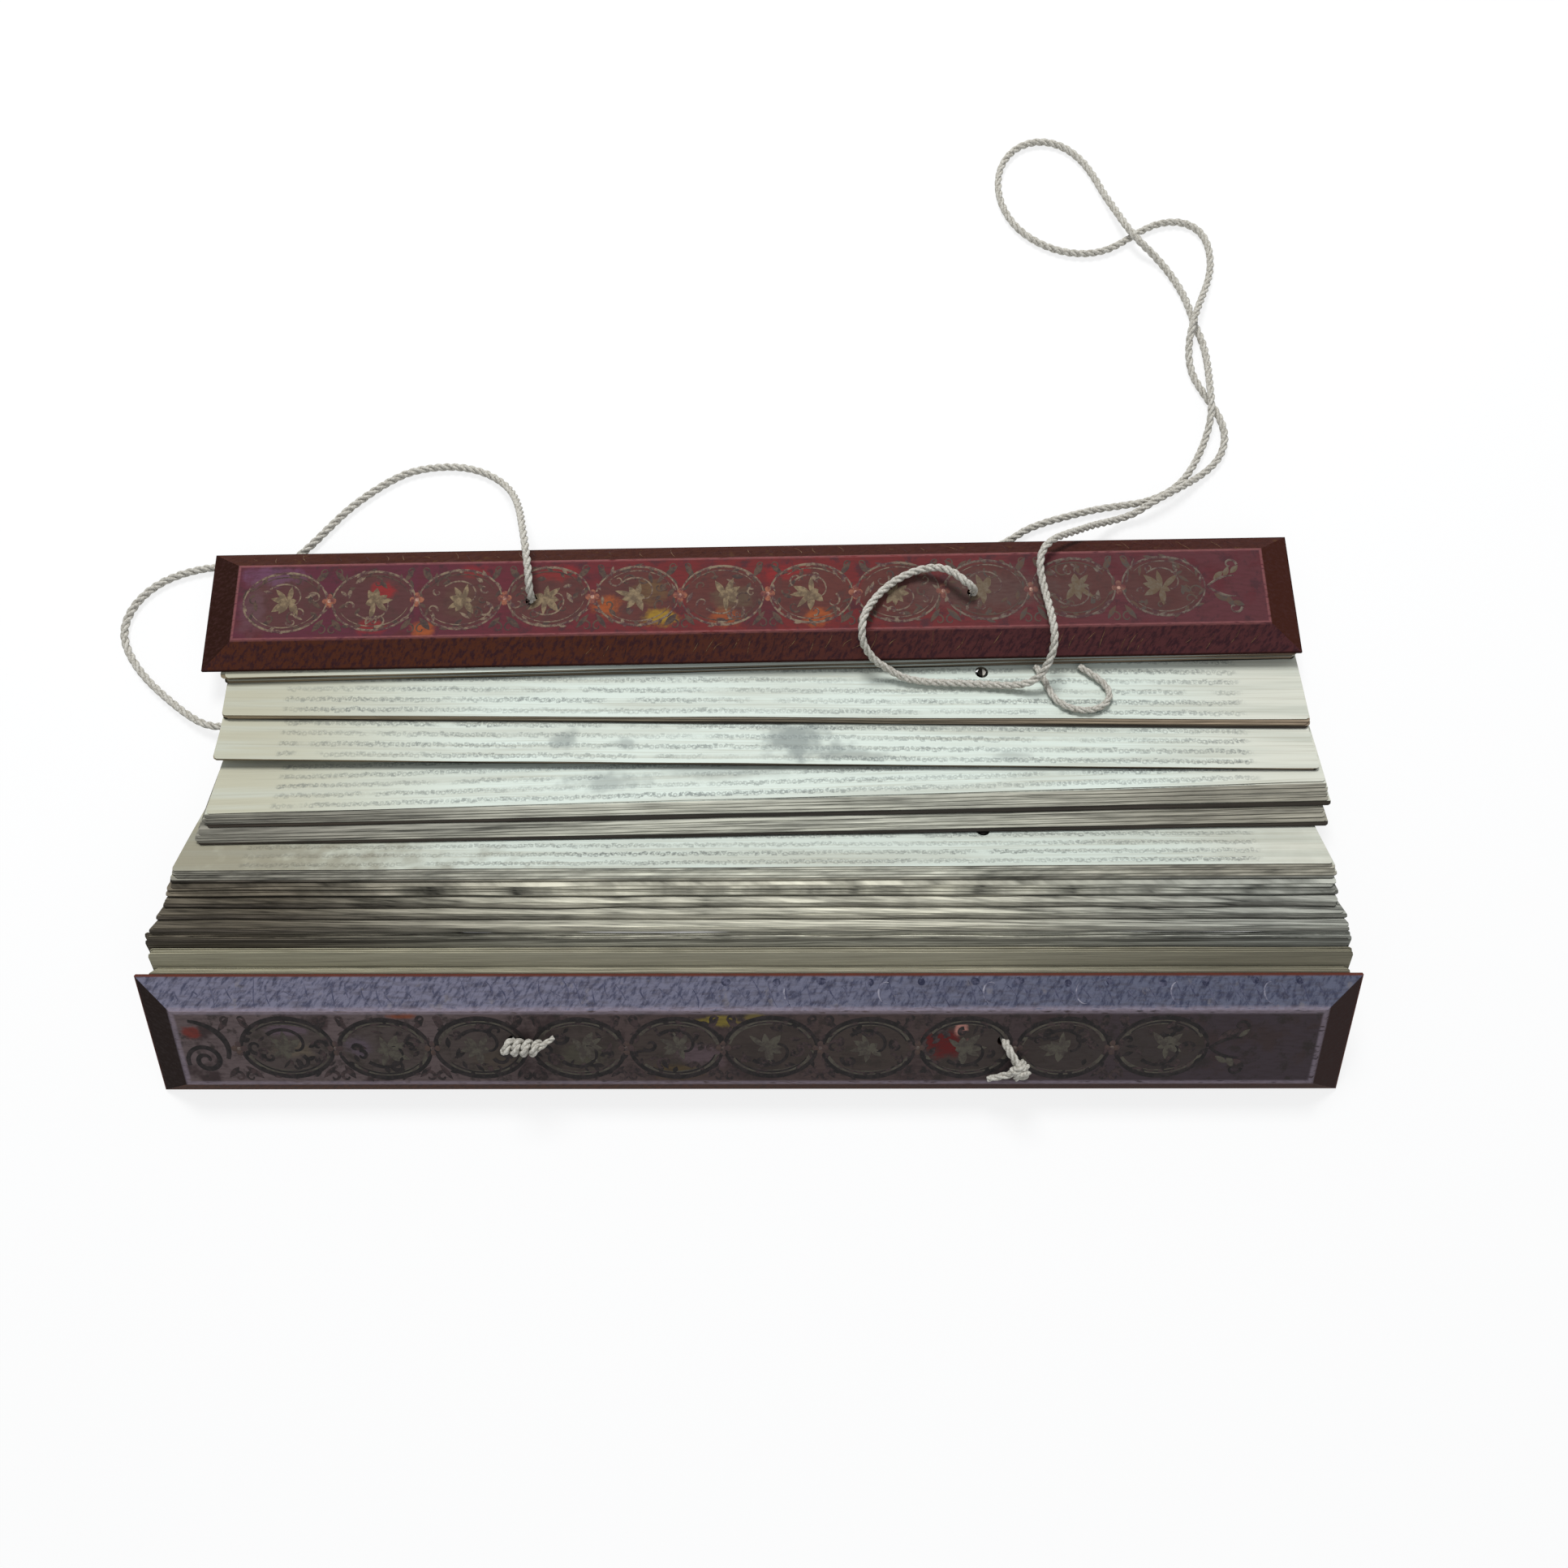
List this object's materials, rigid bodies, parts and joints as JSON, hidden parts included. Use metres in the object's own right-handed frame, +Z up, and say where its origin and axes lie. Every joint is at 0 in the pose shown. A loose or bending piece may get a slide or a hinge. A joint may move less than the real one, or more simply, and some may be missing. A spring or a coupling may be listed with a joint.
{
  "type": "palm-leaf manuscript",
  "caption": "Palm-leaf manuscript spread open on a table: long leaf strips strung on cords, fanned in sheaves between bevelled, painted wooden boards",
  "frame": {"origin": "on the table, under the middle of the box round the boards and leaves", "axes": "+X along the leaves, +Y away from the reader towards the top board, +Z up"},
  "size_m": [0.4391, 0.3845, 0.0339],
  "materials": {
    "bottom_lacquer": "dark lacquer, worn",
    "top_lacquer": "red lacquer, worn",
    "palm_leaf": "dry leaf, satin",
    "cotton_cord": "laid cotton, matt"
  },
  "bodies": {
    "root": {"bottom_board": "bottom_lacquer", "top_board": "top_lacquer", "leaning_leaves_1": "palm_leaf", "leaning_leaves_2": "palm_leaf", "leaning_leaves_3": "palm_leaf", "crest_leaves_1": "palm_leaf", "crest_leaves_2": "palm_leaf", "crest_leaves_3": "palm_leaf", "middle_leaves_1": "palm_leaf", "middle_leaves_2": "palm_leaf", "middle_leaves_3": "palm_leaf", "middle_leaves_4": "palm_leaf", "open_leaves_1": "palm_leaf", "open_leaves_2": "palm_leaf", "rear_leaves_1": "palm_leaf", "rear_leaves_2": "palm_leaf", "left_cord": "cotton_cord", "right_cord": "cotton_cord", "right_slack_loop": "cotton_cord", "left_cord_inner": "cotton_cord", "right_cord_inner": "cotton_cord", "left_knot": "cotton_cord", "right_knot": "cotton_cord"}
  },
  "joints": []
}
